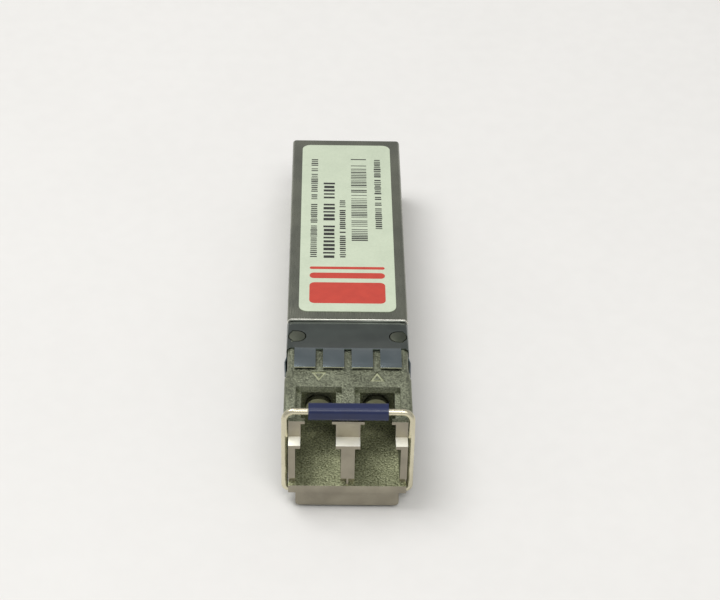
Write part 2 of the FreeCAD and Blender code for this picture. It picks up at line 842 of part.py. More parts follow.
def laser_chip():
    """Laser die on its pedestal, on the barrel's axis."""
    x = -port_centre_x
    return block(x - die_size / 2, x + die_size / 2, header_front - pedestal_length,
                 header_front - pedestal_length + die_size, port_centre_z - die_size / 2,
                 port_centre_z + die_size / 2)


def photodiode_chip():
    """Detector die on the receiver's header."""
    x = port_centre_x
    return block(x - detector_size / 2, x + detector_size / 2, header_front - detector_height, header_front,
                 port_centre_z - detector_size / 2, port_centre_z + detector_size / 2)


def barrel_gasket():
    """Conductive gasket between the bulkhead and the flanges."""
    half = wall_inner_half - gasket_edge_gap
    low = port_centre_z - gasket_height / 2
    plate = block(-half, half, bulkhead_back, flange_front, low, low + gasket_height)
    holes = [rod(side * port_centre_x, port_centre_z, bulkhead_back - 1, flange_front + 1,
                 barrel_nose_radius + barrel_hole_gap) for side in sides]
    return plate.cut(holes)


def optics_clamp():
    """Plate that drops over both necks and holds them in the saddle."""
    half = wall_inner_half - gasket_edge_gap
    front = neck_front + (neck_length - clamp_thickness) / 2
    plate = block(-half, half, front, front + clamp_thickness, port_centre_z, clamp_top)
    necks = [rod(side * port_centre_x, port_centre_z, front - 1, front + clamp_thickness + 1,
                 neck_radius + saddle_gap) for side in sides]
    return plate.cut(necks)


def flex_circuit(side):
    """Bent strip from the header's pins over to pads on the board."""
    x = side * port_centre_x
    back = header_back + pin_length
    low = port_centre_z - flex_foot
    high = port_centre_z + flex_foot
    board_lap_end = board_front + flex_board_lap
    points = [(back, low), (back, high), (back + flex_peak_back, port_centre_z + flex_peak_rise),
              (board_front, high), (board_front + flex_board_lap / 2, board_top + flex_thickness),
              (board_lap_end, board_top + flex_thickness)]
    outline = ribbon_outline(points, -flex_thickness)
    return prism_along_x(outline, x - flex_width / 2, x + flex_width / 2)


def circuit_board():
    """Board that narrows to the card edge, with a bevelled end and two notches."""
    half = wall_inner_half - board_side_gap
    edge_half = card_edge_width / 2
    outline = [(-half, board_front), (half, board_front), (half, card_edge_front),
               (edge_half, card_edge_front), (edge_half, board_end), (-edge_half, board_end),
               (-edge_half, card_edge_front), (-half, card_edge_front)]
    board = prism_along_z(outline, board_bottom, board_top)
    cuts = []
    for side in sides:
        cuts.append(side_block(side, wall_inner_half - board_ledge_width - key_gap, nose_half,
                               key_front - key_gap, key_front + key_length + key_gap,
                               board_bottom - 1, board_top + 1))
    bevel = card_edge_bevel
    for z, way in ((board_bottom, -1), (board_top, 1)):
        points = [(board_end - bevel, z), (board_end - bevel, z + way), (board_end + 1, z + way),
                  (board_end + 1, z - way * bevel), (board_end, z - way * bevel)]
        cuts.append(prism_along_x(points, -half, half))
    return board.cut(cuts)


def edge_contacts(z_low):
    """Row of contact pads on one face of the card edge."""
    pads = []
    back = board_end - contact_inset
    for index in range(contact_count):
        x = (index - (contact_count - 1) / 2) * contact_pitch
        pads.append(block(x - contact_width / 2, x + contact_width / 2, back - contact_length, back,
                          z_low, z_low + contact_thickness))
    return Part.makeCompound(pads)


def chip(x, y, width, length, height):
    """Moulded package on the board's top, with a bevelled rim."""
    body = block(x - width / 2, x + width / 2, y - length / 2, y + length / 2, board_top, board_top + height)
    rim = [edge for edge in body.Edges if abs(edge.CenterOfMass.z - board_top - height) < 0.01]
    return body.makeChamfer(chip_bevel, rim)


def power_inductors():
    """Two wire-wound inductors in moulded bodies."""
    return Part.makeCompound([chip(inductor_x, inductor_y + index * inductor_pitch, inductor_length,
                                   inductor_width, inductor_height) for index in range(inductor_count)])


def passive_row(y, columns):
    """Row of small parts across the board at one place along it."""
    row = []
    for column in columns:
        x = (column - (passive_columns - 1) / 2) * passive_column_pitch
        row.append(block(x - passive_length / 2, x + passive_length / 2, y - passive_width / 2,
                         y + passive_width / 2, board_top, board_top + passive_height))
    return row


def passive_parts():
    """Small capacitors and resistors: two rows behind the driver, one behind the controller and the memory."""
    every = range(passive_columns)
    left = range(passive_columns // 2)
    behind_driver = driver_y + driver_size / 2 + passive_row_gap
    behind_controller = controller_y + controller_size / 2 + passive_row_gap
    behind_memory = memory_y + memory_width / 2 + passive_row_gap
    parts = passive_row(behind_driver, every) + passive_row(behind_driver + passive_pitch, every)
    parts += passive_row(behind_controller, every) + passive_row(behind_memory, left)
    return Part.makeCompound(parts)


def thermal_pad():
    """Soft pad between the board's underside and the floor, below the driver and the amplifier."""
    y = (driver_y + amplifier_y) / 2
    return block(-pad_width / 2, pad_width / 2, y - pad_length / 2, y + pad_length / 2,
                 floor_top, board_bottom)


def all_pieces():
    """Every named piece."""
    return {
        "base_housing": base_housing(),
        "top_cover": top_cover(),
        "emi_collar": emi_collar(),
        "label": label(),
        "bail_wire": bail_wire(),
        "bail_grip": bail_grip(),
        "actuator_slider": actuator_slider(),
        "slider_spring": slider_spring(),
        "slider_retainer": slider_retainer(),
        "transmitter_barrel": barrel(-1, stub_radius + stub_gap),
        "receiver_barrel": barrel(1, aperture_radius),
        "transmitter_sleeve": split_sleeve(-1),
        "receiver_sleeve": split_sleeve(1),
        "fibre_stub": fibre_stub(),
        "transmitter_can": can_cap(-1),
        "receiver_can": can_cap(1),
        "transmitter_lens": ball_lens(-1),
        "receiver_lens": ball_lens(1),
        "transmitter_header": transmitter_header(),
        "receiver_header": header_disc(1),
        "laser_chip": laser_chip(),
        "photodiode_chip": photodiode_chip(),
        "transmitter_flex": flex_circuit(-1),
        "receiver_flex": flex_circuit(1),
        "barrel_gasket": barrel_gasket(),
        "optics_clamp": optics_clamp(),
        "circuit_board": circuit_board(),
        "edge_contacts_top": edge_contacts(board_top),
        "edge_contacts_bottom": edge_contacts(board_bottom - contact_thickness),
        "laser_driver": chip(driver_x, driver_y, driver_size, driver_size, chip_height),
        "receiver_amplifier": chip(amplifier_x, amplifier_y, amplifier_size, amplifier_size, chip_height),
        "controller_chip": chip(0, controller_y, controller_size, controller_size, chip_height),
        "memory_chip": chip(memory_x, memory_y, memory_length, memory_width, memory_height),
        "power_inductors": power_inductors(),
        "passive_parts": passive_parts(),
        "thermal_pad": thermal_pad(),
    }


def main():
    """Builds every piece, moves it to the module's origin and writes it."""
    os.makedirs("parts", exist_ok=True)
    to_origin = Vector(0, -module_length / 2, 0)
    for name, shape in all_pieces().items():
        placed = shape.copy()
        placed.translate(to_origin)
        placed.exportStep(os.path.join("parts", name + ".step"))
        box = placed.BoundBox
        print(f"{name}: {len(placed.Solids)} solids, {placed.Volume:.3f} mm3, valid {placed.isValid()}, "
              f"x {box.XMin:.2f} {box.XMax:.2f}, y {box.YMin:.2f} {box.YMax:.2f}, z {box.ZMin:.2f} {box.ZMax:.2f}")


main()
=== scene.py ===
"""Optical transceiver module: finishes, printed label and studio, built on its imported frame."""
import logging
import math
from dataclasses import dataclass, field
from enum import Enum
from typing import Any, Callable, ClassVar, Iterable, Sequence

import bmesh
import bpy
from mathutils import Matrix, Vector


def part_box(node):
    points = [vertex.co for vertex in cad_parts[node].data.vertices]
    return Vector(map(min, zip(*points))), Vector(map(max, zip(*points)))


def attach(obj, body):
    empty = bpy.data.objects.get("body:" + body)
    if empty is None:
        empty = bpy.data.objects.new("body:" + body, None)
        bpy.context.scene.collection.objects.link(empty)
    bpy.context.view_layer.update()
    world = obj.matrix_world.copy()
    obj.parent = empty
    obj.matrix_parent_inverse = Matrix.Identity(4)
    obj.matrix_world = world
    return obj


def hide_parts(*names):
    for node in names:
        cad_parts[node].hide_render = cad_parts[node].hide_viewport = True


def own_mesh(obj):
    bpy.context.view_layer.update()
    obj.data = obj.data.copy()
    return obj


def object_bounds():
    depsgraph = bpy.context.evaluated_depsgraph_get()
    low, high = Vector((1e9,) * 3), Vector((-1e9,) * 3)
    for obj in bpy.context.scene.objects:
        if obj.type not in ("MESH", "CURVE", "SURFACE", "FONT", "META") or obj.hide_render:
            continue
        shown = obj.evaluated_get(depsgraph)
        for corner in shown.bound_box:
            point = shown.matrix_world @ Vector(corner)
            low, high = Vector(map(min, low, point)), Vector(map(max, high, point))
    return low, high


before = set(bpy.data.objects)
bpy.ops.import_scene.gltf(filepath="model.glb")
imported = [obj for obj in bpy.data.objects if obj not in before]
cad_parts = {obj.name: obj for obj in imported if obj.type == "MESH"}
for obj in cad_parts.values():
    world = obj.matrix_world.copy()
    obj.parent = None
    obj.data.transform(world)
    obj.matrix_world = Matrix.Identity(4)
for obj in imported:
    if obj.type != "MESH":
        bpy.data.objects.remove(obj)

CAD_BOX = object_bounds()
LOG = logging.getLogger("transceiver")
MM = 0.001
NODES: dict[str, bpy.types.Object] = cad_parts
FRONT = CAD_BOX[0].y
COIL_STEPS = 28
WIRE_SIDES = 10
CORNER_STEPS = 6

Colour = tuple[float, float, float]
Triple = tuple[float, float, float]


class Body(Enum):
    """Bodies of the frame that a piece can ride on."""

    HOUSING = "housing"
    BAIL = "bail"
    ACTUATOR = "actuator"


class Axis(Enum):
    """Direction in which a metal was rolled, drawn or brushed, as shares of the grain's frequency."""

    NONE = (1.0, 1.0, 1.0)
    ACROSS = (0.04, 1.0, 1.0)
    ALONG = (1.0, 0.04, 1.0)


class Graph:
    """Adds nodes to one tree and feeds their inputs."""

    def __init__(self, tree: bpy.types.NodeTree) -> None:
        """Keeps the tree.

        Args:
            tree: Node tree that gets the nodes.
        """
        self.tree = tree

    def add(self, kind: str, inputs: dict[str, Any] | None = None, **settings: Any) -> bpy.types.Node:
        """Adds one node.

        Args:
            kind: Blender's name of the node type.
            inputs: Values or sockets by input name.
            **settings: Properties of the node itself, set before its inputs.

        Returns:
            The new node.
        """
        node = self.tree.nodes.new(kind)
        for name, value in settings.items():
            setattr(node, name, value)
        for name, value in (inputs or {}).items():
            self.feed(node, name, value)
        return node

    def feed(self, node: bpy.types.Node, name: str, value: Any) -> None:
        """Links a socket to an input or sets the input's own value.

        Args:
            node: Node that owns the input.
            name: Name of the input.
            value: Output socket of another node, or a plain value.
        """
        target = next(socket for socket in node.inputs if socket.name == name and socket.enabled)
        if isinstance(value, bpy.types.NodeSocket):
            self.tree.links.new(value, target)
        else:
            target.default_value = value


class Paint:
    """Node material in the making, with its patterns on object coordinates."""

    def __init__(self, name: str) -> None:
        """Starts a material with one shader.

        Args:
            name: Name of the material.
        """
        self.material = bpy.data.materials.new(name)
        self.material.use_nodes = True
        self.graph = Graph(self.material.node_tree)
        self.shader = self.material.node_tree.nodes["Principled BSDF"]
        self.place = self.graph.add("ShaderNodeTexCoord").outputs["Object"]

    def set(self, name: str, value: Any) -> None:
        """Feeds one of the shader's inputs.

        Args:
            name: Name of the input.
            value: Number, linear colour or socket.
        """
        if isinstance(value, tuple) and len(value) == 3:
            value = (*value, 1.0)
        self.graph.feed(self.shader, name, value)

    def stretched(self, size: float, stretch: Triple) -> bpy.types.NodeSocket:
        """Object coordinates counted in pattern sizes.

        Args:
            size: Size of the pattern, in metres.
            stretch: Share of the full frequency along each axis.

        Returns:
            The scaled coordinates.
        """
        scale = tuple(share / size for share in stretch)
        mapping = self.graph.add("ShaderNodeMapping", {"Vector": self.place, "Scale": scale})
        return mapping.outputs["Vector"]

    def noise(self, size: float, stretch: Triple = Axis.NONE.value,
              detail: float = 2.0) -> bpy.types.NodeSocket:
        """Soft random pattern.

        Args:
            size: Size of its features, in metres.
            stretch: Share of the full frequency along each axis.
            detail: Number of finer layers.

        Returns:
            Its value, about 0.3 to 0.7.
        """
        inputs = {"Vector": self.stretched(size, stretch), "Scale": 1.0, "Detail": detail}
        return self.graph.add("ShaderNodeTexNoise", inputs).outputs[0]

    def cells(self, size: float) -> bpy.types.NodeSocket:
        """Distance to the nearest of scattered points, for pits and beads.

        Args:
            size: Distance between the points, in metres.

        Returns:
            The distance, 0 at a point.
        """
        inputs = {"Vector": self.stretched(size, Axis.NONE.value), "Scale": 1.0}
        return self.graph.add("ShaderNodeTexVoronoi", inputs).outputs["Distance"]

    def remap(self, value: bpy.types.NodeSocket, low: float, high: float,
              start: float = 0.35, end: float = 0.65) -> bpy.types.NodeSocket:
        """Spreads a pattern's middle range over another range, held at its ends.

        Args:
            value: Pattern value.
            low: Result at start and below.
            high: Result at end and above.
            start: Pattern value that gives low.
            end: Pattern value that gives high.

        Returns:
            The spread value.
        """
        inputs = {"Value": value, "From Min": start, "From Max": end, "To Min": low, "To Max": high}
        return self.graph.add("ShaderNodeMapRange", inputs).outputs["Result"]

    def blend(self, factor: bpy.types.NodeSocket, first: Any, second: Any) -> bpy.types.NodeSocket:
        """Mixes two colours.

        Args:
            factor: 0 for the first colour, 1 for the second.
            first: Linear colour or colour socket.
            second: Linear colour or colour socket.

        Returns:
            The mixed colour.
        """
        mix = self.graph.add("ShaderNodeMix", data_type="RGBA")
        for name, value in (("Factor", factor), ("A", first), ("B", second)):
            plain = isinstance(value, tuple)
            self.graph.feed(mix, name, (*value, 1.0) if plain else value)
        return next(socket for socket in mix.outputs if socket.enabled)

    def mingle(self, share: float, first: bpy.types.NodeSocket,
               second: bpy.types.NodeSocket) -> bpy.types.NodeSocket:
        """Mixes two pattern values.

        Args:
            share: Share of the second one.
            first: Pattern value.
            second: Pattern value.

        Returns:
            The mixed value.
        """
        mix = self.graph.add("ShaderNodeMix", {"Factor": share, "A": first, "B": second}, data_type="FLOAT")
        return next(socket for socket in mix.outputs if socket.enabled)

    def relief(self, height: bpy.types.NodeSocket, depth: float,
               under: bpy.types.NodeSocket | None = None) -> bpy.types.NodeSocket:
        """Turns a pattern into relief.

        Args:
            height: Pattern value.
            depth: Height of one unit of the pattern, in metres.
            under: Normal of a coarser relief below this one.

        Returns:
            The bumped normal.
        """
        bump = self.graph.add("ShaderNodeBump", {"Height": height, "Distance": depth, "Strength": 1.0})
        if under is not None:
            self.graph.feed(bump, "Normal", under)
        return bump.outputs["Normal"]


@dataclass(frozen=True)
class MetalFinish:
    """Metal with grain, soft patches of tone and relief.

    Attributes:
        name: Name of the material.
        colour: Linear colour of its lighter patches.
        shade: Linear colour of its darker patches.
        smooth: Roughness of its smoothest spots.
        rough: Roughness of its roughest spots.
        grain: Size of the grain, in metres.
        depth: Height of the grain, in metres.
        patch: Size of the patches, in metres.
        axis: Direction of the grain.
        pits: Depth of scattered pits, in metres, or 0.
        speckle: Share of the grain in the tone.
        patch_detail: Number of finer layers in the patches.
        speck_low: Grain value at which the tone is darkest.
        speck_high: Grain value at which the tone is lightest.
        pit_spacing: Distance between pits, in grains.
        pit_reach: Radius of a pit, as a share of that distance.
    """

    name: str
    colour: Colour
    shade: Colour
    smooth: float
    rough: float
    grain: float = 0.15 * MM
    depth: float = 0.004 * MM
    patch: float = 2.5 * MM
    axis: Axis = Axis.NONE
    pits: float = 0.0
    speckle: float = 0.0
    patch_detail: ClassVar[float] = 4.0
    speck_low: ClassVar[float] = 0.42
    speck_high: ClassVar[float] = 0.58
    pit_spacing: ClassVar[float] = 2.2
    pit_reach: ClassVar[float] = 0.4

    def material(self) -> bpy.types.Material:
        """Builds the material.

        Returns:
            A metallic material.
        """
        paint = Paint(self.name)
        grain = paint.noise(self.grain, self.axis.value)
        tone = paint.remap(paint.noise(self.patch, detail=self.patch_detail), 0.0, 1.0)
        if self.speckle:
            specks = paint.remap(grain, 0.0, 1.0, self.speck_low, self.speck_high)
            tone = paint.mingle(self.speckle, tone, specks)
        paint.set("Metallic", 1.0)
        paint.set("Base Color", paint.blend(tone, self.shade, self.colour))
        paint.set("Roughness", paint.remap(grain, self.smooth, self.rough))
        normal = paint.relief(grain, self.depth)
        if self.pits:
            pit = paint.remap(paint.cells(self.pit_spacing * self.grain), 0.0, 1.0, 0.0, self.pit_reach)
            normal = paint.relief(pit, self.pits, normal)
        paint.set("Normal", normal)
        return paint.material


@dataclass(frozen=True)
class TurnedFinish:
    """Metal turned on a lathe about an axis along Y, with fine tool rings.

    Attributes:
        name: Name of the material.
        colour: Linear colour.
        shade: Linear colour in the rings.
        roughness: Roughness between the rings.
        pitch: Distance between rings, in metres.
        unevenness: Distortion of the rings.
        dullness: Roughness that a ring adds.
        depth: Depth of a ring, in metres.
    """

    name: str
    colour: Colour
    shade: Colour
    roughness: float
    pitch: float = 0.09 * MM
    unevenness: ClassVar[float] = 0.6
    dullness: ClassVar[float] = 0.1
    depth: ClassVar[float] = 0.002 * MM

    def material(self) -> bpy.types.Material:
        """Builds the material.

        Returns:
            A metallic material with rings.
        """
        paint = Paint(self.name)
        place = paint.stretched(self.pitch, Axis.NONE.value)
        inputs = {"Vector": place, "Scale": 1.0, "Distortion": self.unevenness}
        rings = paint.graph.add("ShaderNodeTexWave", inputs, bands_direction="Y").outputs["Fac"]
        paint.set("Metallic", 1.0)
        paint.set("Base Color", paint.blend(rings, self.shade, self.colour))
        paint.set("Roughness", paint.remap(rings, self.roughness + self.dullness, self.roughness, 0.0, 1.0))
        paint.set("Normal", paint.relief(rings, self.depth))
        return paint.material


@dataclass(frozen=True)
class SolidFinish:
    """Plastic, film, ink, laminate, ceramic or rubber.

    Attributes:
        name: Name of the material.
        colour: Linear colour.
        shade: Linear colour of its darker specks.
        smooth: Lowest roughness.
        rough: Highest roughness.
        grain: Size of its texture, in metres.
        depth: Height of its texture, in metres.
        coat: Weight of a clear coat.
        clear: Share of light that passes through.
        detail: Number of finer layers in its texture.
        patch: Size of its patches, in grains.
        grain_share: Share of the grain in its tone; the patches have as much.
    """

    name: str
    colour: Colour
    shade: Colour
    smooth: float
    rough: float
    grain: float = 0.1 * MM
    depth: float = 0.002 * MM
    coat: float = 0.0
    clear: float = 0.0
    detail: ClassVar[float] = 3.0
    patch: ClassVar[float] = 12.0
    grain_share: ClassVar[float] = 0.5

    def material(self) -> bpy.types.Material:
        """Builds the material.

        Returns:
            A non-metallic material.
        """
        paint = Paint(self.name)
        grain = paint.noise(self.grain, detail=self.detail)
        tone = paint.noise(self.patch * self.grain, detail=self.detail)
        mottle = paint.graph.add("ShaderNodeMath", operation="ADD")
        paint.graph.tree.links.new(paint.remap(grain, 0.0, self.grain_share), mottle.inputs[0])
        paint.graph.tree.links.new(paint.remap(tone, 0.0, self.grain_share), mottle.inputs[1])
        paint.set("Base Color", paint.blend(mottle.outputs[0], self.shade, self.colour))
        paint.set("Roughness", paint.remap(grain, self.smooth, self.rough))
        paint.set("Normal", paint.relief(grain, self.depth))
        paint.set("Coat Weight", self.coat)
        paint.set("Transmission Weight", self.clear)
        return paint.material


CAST = MetalFinish("blasted_casting", (0.33, 0.35, 0.255), (0.145, 0.155, 0.11), 0.40, 0.62, 0.18 * MM,
                   0.055 * MM, 1.2 * MM, pits=0.035 * MM, speckle=0.7)
# Port floors: the lighter colour is painted light; the speckled grain is the casting's own.
LIT_PORT_FLOOR = MetalFinish("grainy_port_floor_painted_light", (0.60, 0.62, 0.40), (0.23, 0.24, 0.14), 0.44, 0.64, 0.20 * MM,
                         0.055 * MM, 1.2 * MM, pits=0.035 * MM, speckle=0.75)
ETCHED = MetalFinish("etched_arrow", (0.60, 0.62, 0.43), (0.46, 0.48, 0.33), 0.50, 0.64, 0.15 * MM)
SHADED = MetalFinish("shaded_casting", (0.13, 0.14, 0.11), (0.08, 0.09, 0.07), 0.44, 0.60, 0.15 * MM)
FACED = MetalFinish("satin_casting", (0.36, 0.33, 0.26), (0.29, 0.265, 0.21), 0.28, 0.42, 0.08 * MM,
                    0.008 * MM)
# Near-white casting colour: a painted highlight on the ledges and forward edges.
PAINTED_HIGHLIGHT = MetalFinish("painted_highlight_casting", (0.98, 0.97, 0.88), (0.93, 0.92, 0.82), 0.56, 0.68, 0.10 * MM,
                   0.008 * MM)
COVER = MetalFinish("brushed_cover_sheet", (0.275, 0.285, 0.235), (0.215, 0.225, 0.19), 0.24, 0.38,
                    0.06 * MM, 0.004 * MM, 5.0 * MM, Axis.ALONG)
# Near-white sheet colour: a painted highlight on the cover's ends and the collar's finger tips.
PAINTED_HIGHLIGHT_SHEET = MetalFinish("sheet_edge_painted_highlight", (0.93, 0.92, 0.84), (0.80, 0.79, 0.71), 0.36, 0.50, 0.05 * MM)
COLLAR = MetalFinish("rolled_collar_sheet", (0.145, 0.165, 0.155), (0.115, 0.13, 0.125), 0.16, 0.26,
                     0.08 * MM, 0.002 * MM, 3.0 * MM, Axis.ACROSS)
# Same sheet as the collar; its lighter, bluer tone is a painted reflection on the bent fingers.
FINGER_PAINTED_REFLECTION = MetalFinish("sprung_finger_painted_reflection", (0.225, 0.265, 0.285), (0.18, 0.22, 0.24), 0.16, 0.26,
                     0.08 * MM, 0.002 * MM, 3.0 * MM, Axis.ACROSS)
WIRE = MetalFinish("polished_wire", (0.72, 0.68, 0.51), (0.63, 0.59, 0.44), 0.26, 0.36, 0.10 * MM,
                   0.002 * MM)
SLIDER = MetalFinish("tumbled_slider", (0.50, 0.50, 0.48), (0.42, 0.42, 0.40), 0.30, 0.42, 0.10 * MM)
SPRING = MetalFinish("drawn_spring_wire", (0.58, 0.58, 0.57), (0.46, 0.46, 0.46), 0.18, 0.28, 0.05 * MM)
STAMPED = MetalFinish("stamped_plate", (0.46, 0.46, 0.42), (0.38, 0.38, 0.35), 0.26, 0.38, 0.07 * MM,
                      0.003 * MM, 3.0 * MM, Axis.ACROSS)
TURNED = TurnedFinish("turned_barrel", (0.62, 0.60, 0.54), (0.46, 0.45, 0.40), 0.24)
GOLD = MetalFinish("gold_plating", (0.85, 0.62, 0.26), (0.74, 0.52, 0.20), 0.18, 0.30, 0.06 * MM,
                   0.002 * MM)
SOLDER = MetalFinish("tinned_end", (0.72, 0.72, 0.70), (0.58, 0.58, 0.57), 0.24, 0.36, 0.08 * MM)
GRIP = SolidFinish("moulded_blue_grip", (0.006, 0.015, 0.075), (0.004, 0.010, 0.055), 0.28, 0.40,
                   0.12 * MM, 0.002 * MM)
PAPER = SolidFinish("matt_label_film", (0.58, 0.65, 0.50), (0.52, 0.59, 0.45), 0.42, 0.56, 0.20 * MM,
                    0.002 * MM, 0.10)
BLACK_INK = SolidFinish("black_print", (0.030, 0.030, 0.028), (0.015, 0.015, 0.015), 0.40, 0.52)
RED_INK = SolidFinish("red_print", (0.56, 0.055, 0.032), (0.47, 0.042, 0.026), 0.38, 0.50, coat=0.10)
CERAMIC = SolidFinish("ground_ceramic", (0.88, 0.88, 0.84), (0.80, 0.80, 0.76), 0.16, 0.26, coat=0.20)
GLASS = SolidFinish("lens_glass", (0.95, 0.97, 0.97), (0.92, 0.95, 0.95), 0.02, 0.05, depth=0.0, clear=1.0)
DIE = SolidFinish("bare_die", (0.10, 0.10, 0.13), (0.06, 0.06, 0.08), 0.12, 0.20, 0.05 * MM, 0.001 * MM, 0.30)
FILM = SolidFinish("amber_film", (0.55, 0.27, 0.06), (0.44, 0.20, 0.04), 0.22, 0.32, coat=0.30)
MASK = SolidFinish("green_solder_mask", (0.020, 0.170, 0.075), (0.012, 0.120, 0.052), 0.24, 0.36,
                   0.25 * MM, 0.004 * MM, 0.30)
PACKAGE = SolidFinish("moulded_package", (0.035, 0.035, 0.036), (0.020, 0.020, 0.021), 0.46, 0.62,
                      0.05 * MM, 0.004 * MM)
FIRED = SolidFinish("fired_ceramic_body", (0.42, 0.31, 0.20), (0.33, 0.24, 0.15), 0.34, 0.46)
RUBBER = SolidFinish("conductive_rubber", (0.10, 0.10, 0.10), (0.06, 0.06, 0.06), 0.60, 0.80, depth=0.01 * MM)
PAD = SolidFinish("soft_thermal_pad", (0.42, 0.48, 0.55), (0.36, 0.42, 0.48), 0.60, 0.75, depth=0.01 * MM)
FLOOR = SolidFinish("pale_floor", (0.78, 0.77, 0.75), (0.76, 0.75, 0.73), 0.62, 0.74, 2.0 * MM, 0.002 * MM)

Finish = MetalFinish | TurnedFinish | SolidFinish


class Wardrobe:
    """Materials by finish, each built once."""

    made: ClassVar[dict[str, bpy.types.Material]] = {}

    @classmethod
    def get(cls, finish: Finish) -> bpy.types.Material:
        """The finish's material, built on first use.

        Args:
            finish: The finish.

        Returns:
            Its material.
        """
        if finish.name not in cls.made:
            cls.made[finish.name] = finish.material()
        return cls.made[finish.name]


def dress_node(name: str, finish: Finish) -> bpy.types.Object:
    """Gives a node of the frame its material.

    Args:
        name: Name of the node.
        finish: Its finish.

    Returns:
        The node's object.
    """
    node = NODES[name]
    node.material_slots[0].material = Wardrobe.get(finish)
    return node


def new_piece(name: str, mesh: bpy.types.Mesh, body: Body,
              finishes: Sequence[Finish] = ()) -> bpy.types.Object:
    """Makes a piece from a finished mesh.

    Args:
        name: Name of the piece.
        mesh: Its mesh, in place.
        body: Body that it rides on.
        finishes: Its finishes in the order of its material slots, if the mesh has none yet.

    Returns:
        The new object.
    """
    piece = bpy.data.objects.new(name, mesh)
    bpy.context.scene.collection.objects.link(piece)
    for finish in finishes:
        mesh.materials.append(Wardrobe.get(finish))
    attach(piece, body.value)
    return piece


@dataclass(frozen=True)
class EdgeBreak:
    """Small rounding of a piece's sharp edges, as blasting, shearing or plating leaves it.

    Attributes:
        width: Width of the rounding, in metres.
        segments: Faces across it.
        sharp: Edges that turn by more than this get it, in radians.
        fullness: Profile of the rounding.
        flat: Turn below which two faces count as one plane, in radians.
        weld: Distance below which points of the node are one, in metres.
        fine_weld: Distance below which points of the rounding are one, in metres.
    """

    width: float
    segments: int = 2
    sharp: float = math.radians(30)
    fullness: ClassVar[float] = 0.6
    flat: ClassVar[float] = 0.01
    weld: ClassVar[float] = 1e-7
    fine_weld: ClassVar[float] = 1e-8

    def copy(self, node: str) -> bpy.types.Mesh:
        """Copies a node's mesh with its edges rounded.

        Args:
            node: Name of the node.

        Returns:
            A closed mesh, shaded smooth over the roundings.
        """
        form = bmesh.new()
        form.from_mesh(NODES[node].data)
        bmesh.ops.remove_doubles(form, verts=form.verts, dist=self.weld)
        bmesh.ops.dissolve_limit(form, angle_limit=self.flat, verts=form.verts, edges=form.edges)
        edges = [edge for edge in form.edges
                 if len(edge.link_faces) == 2 and edge.calc_face_angle() > self.sharp]
        bmesh.ops.bevel(form, geom=edges, offset=self.width, segments=self.segments, profile=self.fullness,
                        affect="EDGES", clamp_overlap=True, harden_normals=False)
        bmesh.ops.remove_doubles(form, verts=form.verts, dist=self.fine_weld)
        for face in form.faces:
            face.smooth = True
            face.material_index = 0
        for edge in form.edges:
            edge.smooth = len(edge.link_faces) == 2 and edge.calc_face_angle() < self.sharp
        mesh = bpy.data.meshes.new(node + "_dressed")
        form.to_mesh(mesh)
        form.free()
        return mesh


Rule = Callable[[Vector, Vector], bool]


def assign_by_place(mesh: bpy.types.Mesh, rules: Sequence[Rule]) -> None:
    """Gives each face the material of the first rule that its middle and normal pass.

    Args:
        mesh: Mesh whose faces are sorted.
        rules: Tests for materials 1, 2 and so on; a face that passes none keeps material 0.
    """
    for face in mesh.polygons:
        for index, rule in enumerate(rules, start=1):
            if rule(face.center, face.normal):
                face.material_index = index
                break


class Tree:
    """Geometry node tree with named inputs, run once for each set of values."""

    def __init__(self, name: str, sockets: dict[str, str]) -> None:
        """Starts a tree.

        Args:
            name: Name of the tree.
            sockets: Input names with the last part of their socket types.
        """
        self.tree = bpy.data.node_groups.new(name, "GeometryNodeTree")
        self.tree.interface.new_socket("Geometry", in_out="INPUT", socket_type="NodeSocketGeometry")
        self.identifiers: dict[str, str] = {}
        for label, kind in sockets.items():
            item = self.tree.interface.new_socket(label, in_out="INPUT", socket_type="NodeSocket" + kind)
            self.identifiers[label] = item.identifier
        self.tree.interface.new_socket("Geometry", in_out="OUTPUT", socket_type="NodeSocketGeometry")
        self.graph = Graph(self.tree)
        self.values = self.graph.add("NodeGroupInput").outputs

    def end(self, geometry: bpy.types.NodeSocket) -> None:
        """Realizes the result, gives it the tree's material and ends the tree.

        Args:
            geometry: The result.
        """
        real = self.graph.add("GeometryNodeRealizeInstances", {"Geometry": geometry})
        inputs = {"Geometry": real.outputs[0], "Material": self.values["Material"]}
        dressed = self.graph.add("GeometryNodeSetMaterial", inputs)
        self.graph.add("NodeGroupOutput", {"Geometry": dressed.outputs[0]})

    def run(self, name: str, **values: Any) -> bpy.types.Mesh:
        """Runs the tree on an empty mesh.

        Args:
            name: Name of the resulting mesh.
            **values: Input values, with underscores for spaces in their names.

        Returns:
            A plain mesh.
        """
        holder = bpy.data.objects.new(name, bpy.data.meshes.new(name + "_start"))
        bpy.context.scene.collection.objects.link(holder)
        modifier = holder.modifiers.new(name, "NODES")
        modifier.node_group = self.tree
        for label, value in values.items():
            modifier[self.identifiers[label.replace("_", " ")]] = value
        graph = bpy.context.evaluated_depsgraph_get()
        mesh = bpy.data.meshes.new_from_object(holder.evaluated_get(graph), depsgraph=graph)
        mesh.name = name
        bpy.data.objects.remove(holder)
        return mesh


